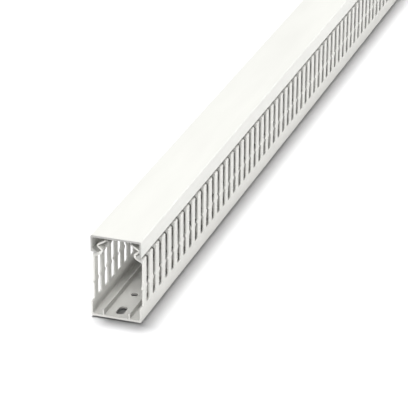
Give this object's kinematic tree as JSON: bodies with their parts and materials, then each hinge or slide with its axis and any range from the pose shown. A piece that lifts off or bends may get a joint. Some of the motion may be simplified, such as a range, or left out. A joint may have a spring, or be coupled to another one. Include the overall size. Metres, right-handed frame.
{
  "type": "slotted wire duct",
  "caption": "Slotted wiring duct with hooked, nubbed fingers along both walls, fixing holes in the floor and a snap-fit cover that slides along it.",
  "frame": {"origin": "underside of the floor, middle of the length and of the width", "axes": "+Y along the duct, away from the end with the first oblong hole; +Z from the floor to the cover; +X to the right-hand wall"},
  "size_m": [0.036, 1, 0.06],
  "materials": {
    "base_plastic": "satin",
    "cover_plastic": "satin"
  },
  "bodies": {
    "base": {"duct_base": "base_plastic"},
    "lid": {"cover": "cover_plastic"}
  },
  "joints": [
    {"name": "cover_slide", "type": "slide", "parent": "base", "child": "lid", "axis": [0, 1, 0], "range_m": [-1, 1]}
  ]
}
